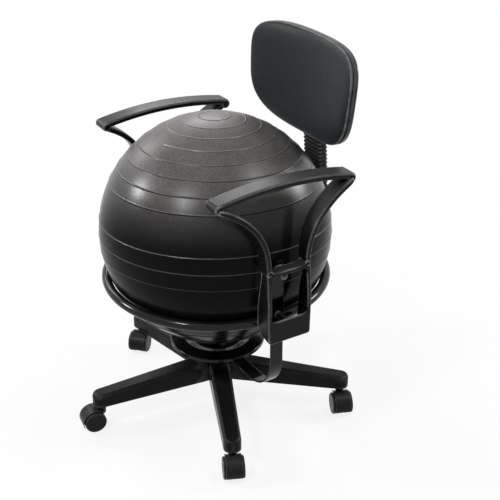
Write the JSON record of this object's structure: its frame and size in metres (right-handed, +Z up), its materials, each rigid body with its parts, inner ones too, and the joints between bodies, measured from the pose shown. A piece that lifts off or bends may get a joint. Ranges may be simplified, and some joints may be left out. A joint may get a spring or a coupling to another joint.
{
  "type": "balance ball chair",
  "caption": "Office chair with an exercise ball for a seat, held in a steel ring, with loop arms, a curved padded backrest and a swivelling star base on twin-wheel casters.",
  "frame": {"origin": "middle of the footprint on the floor", "axes": "+Z up from the floor; -Y is the front, the way the sitter faces; the backrest is at +Y; +X is the sitter's left"},
  "size_m": [0.6306, 0.6444, 0.8565],
  "materials": {
    "satin_nylon": "satin moulded nylon",
    "plated_steel": "zinc plated",
    "white_nylon": "plain moulded",
    "painted_steel": "gloss black powder coat",
    "ball_vinyl": "soft vinyl, satin with a fine grain",
    "arm_plastic": "satin, fine grain",
    "seat_vinyl": "smooth matt vinyl",
    "black_plastic": "smooth moulded",
    "plywood": "raw",
    "dark_rubber": "matt",
    "caster_nylon": "satin moulded"
  },
  "bodies": {
    "base": {"star_base": "satin_nylon", "swivel_spindle": "plated_steel", "thrust_washer": "white_nylon", "retaining_washer": "plated_steel", "spindle_nut": "plated_steel"},
    "seat_frame": {"swivel_housing": "painted_steel", "seat_pan": "painted_steel", "cross_strap": "painted_steel", "back_bar": "painted_steel", "frame_bolt_1": "plated_steel", "frame_bolt_2": "plated_steel", "frame_bolt_3": "plated_steel", "frame_bolt_4": "plated_steel", "ball_ring": "painted_steel", "right_arm": "arm_plastic", "left_arm": "arm_plastic", "right_arm_lower_bolt": "plated_steel", "right_arm_upper_bolt": "plated_steel", "left_arm_lower_bolt": "plated_steel", "left_arm_upper_bolt": "plated_steel", "back_bellows": "dark_rubber"},
    "ball": {"exercise_ball": "ball_vinyl", "valve_plug": "white_nylon"},
    "backrest": {"back_cushion": "seat_vinyl", "back_board": "plywood", "back_shell": "black_plastic", "shell_screw_1": "plated_steel", "shell_screw_2": "plated_steel", "shell_screw_3": "plated_steel", "shell_screw_4": "plated_steel", "height_carrier": "black_plastic"},
    "clamp_knob": {"height_knob": "black_plastic"},
    "caster_1": {"caster_1_stem": "plated_steel", "caster_1_hood": "black_plastic", "caster_1_axle": "plated_steel"},
    "caster_1_left_wheel": {"caster_1_left_wheel": "caster_nylon"},
    "caster_1_right_wheel": {"caster_1_right_wheel": "caster_nylon"},
    "caster_2": {"caster_2_stem": "plated_steel", "caster_2_hood": "black_plastic", "caster_2_axle": "plated_steel"},
    "caster_2_left_wheel": {"caster_2_left_wheel": "caster_nylon"},
    "caster_2_right_wheel": {"caster_2_right_wheel": "caster_nylon"},
    "caster_3": {"caster_3_stem": "plated_steel", "caster_3_hood": "black_plastic", "caster_3_axle": "plated_steel"},
    "caster_3_left_wheel": {"caster_3_left_wheel": "caster_nylon"},
    "caster_3_right_wheel": {"caster_3_right_wheel": "caster_nylon"},
    "caster_4": {"caster_4_stem": "plated_steel", "caster_4_hood": "black_plastic", "caster_4_axle": "plated_steel"},
    "caster_4_left_wheel": {"caster_4_left_wheel": "caster_nylon"},
    "caster_4_right_wheel": {"caster_4_right_wheel": "caster_nylon"},
    "caster_5": {"caster_5_stem": "plated_steel", "caster_5_hood": "black_plastic", "caster_5_axle": "plated_steel"},
    "caster_5_left_wheel": {"caster_5_left_wheel": "caster_nylon"},
    "caster_5_right_wheel": {"caster_5_right_wheel": "caster_nylon"}
  },
  "joints": [
    {"name": "seat_swivel", "type": "hinge", "parent": "base", "child": "seat_frame", "pos_m": [-0.00626, 0.02201, 0.125], "axis": [0, 0, 1], "continuous": true},
    {"name": "ball_turn", "type": "hinge", "parent": "seat_frame", "child": "ball", "pos_m": [-0.00626, 0.02201, 0.45141], "axis": [0, 0, 1], "continuous": true},
    {"name": "back_height", "type": "slide", "parent": "seat_frame", "child": "backrest", "axis": [0, -0.0558, 0.9984], "range_m": [-0.02, 0.03], "deforming": ["back_bellows"]},
    {"name": "knob_turn", "type": "hinge", "parent": "backrest", "child": "clamp_knob", "pos_m": [-0.00626, 0.28676, 0.66894], "axis": [0, 0.9984, 0.0558], "range_deg": [0, 360]},
    {"name": "caster_1_swivel", "type": "hinge", "parent": "base", "child": "caster_1", "pos_m": [0.26141, -0.09716, 0.061], "axis": [0, 0, 1], "continuous": true},
    {"name": "caster_1_left_roll", "type": "hinge", "parent": "caster_1", "child": "caster_1_left_wheel", "pos_m": [0.28151, -0.10611, 0.025], "axis": [0.4067, 0.9135, 0], "continuous": true},
    {"name": "caster_1_right_roll", "type": "hinge", "parent": "caster_1", "child": "caster_1_right_wheel", "pos_m": [0.28151, -0.10611, 0.025], "axis": [0.4067, 0.9135, 0], "continuous": true},
    {"name": "caster_2_swivel", "type": "hinge", "parent": "base", "child": "caster_2", "pos_m": [0.1898, 0.23976, 0.061], "axis": [0, 0, 1], "continuous": true},
    {"name": "caster_2_left_roll", "type": "hinge", "parent": "caster_2", "child": "caster_2_left_wheel", "pos_m": [0.21019, 0.23151, 0.025], "axis": [0.3746, 0.9272, 0], "continuous": true},
    {"name": "caster_2_right_roll", "type": "hinge", "parent": "caster_2", "child": "caster_2_right_wheel", "pos_m": [0.21019, 0.23151, 0.025], "axis": [0.3746, 0.9272, 0], "continuous": true},
    {"name": "caster_3_swivel", "type": "hinge", "parent": "base", "child": "caster_3", "pos_m": [-0.15276, 0.27576, 0.061], "axis": [0, 0, 1], "continuous": true},
    {"name": "caster_3_left_roll", "type": "hinge", "parent": "caster_3", "child": "caster_3_left_wheel", "pos_m": [-0.17181, 0.28676, 0.025], "axis": [-0.5, -0.866, 0], "continuous": true},
    {"name": "caster_3_right_roll", "type": "hinge", "parent": "caster_3", "child": "caster_3_right_wheel", "pos_m": [-0.17181, 0.28676, 0.025], "axis": [-0.5, -0.866, 0], "continuous": true},
    {"name": "caster_4_swivel", "type": "hinge", "parent": "base", "child": "caster_4", "pos_m": [-0.29286, -0.0389, 0.061], "axis": [0, 0, 1], "continuous": true},
    {"name": "caster_4_left_roll", "type": "hinge", "parent": "caster_4", "child": "caster_4_left_wheel", "pos_m": [-0.2773, -0.05446, 0.025], "axis": [0.7071, 0.7071, 0], "continuous": true},
    {"name": "caster_4_right_roll", "type": "hinge", "parent": "caster_4", "child": "caster_4_right_wheel", "pos_m": [-0.2773, -0.05446, 0.025], "axis": [0.7071, 0.7071, 0], "continuous": true},
    {"name": "caster_5_swivel", "type": "hinge", "parent": "base", "child": "caster_5", "pos_m": [-0.03689, -0.26938, 0.061], "axis": [0, 0, 1], "continuous": true},
    {"name": "caster_5_left_roll", "type": "hinge", "parent": "caster_5", "child": "caster_5_left_wheel", "pos_m": [-0.03995, -0.29117, 0.025], "axis": [0.9903, -0.1392, 0], "continuous": true},
    {"name": "caster_5_right_roll", "type": "hinge", "parent": "caster_5", "child": "caster_5_right_wheel", "pos_m": [-0.03995, -0.29117, 0.025], "axis": [0.9903, -0.1392, 0], "continuous": true}
  ]
}
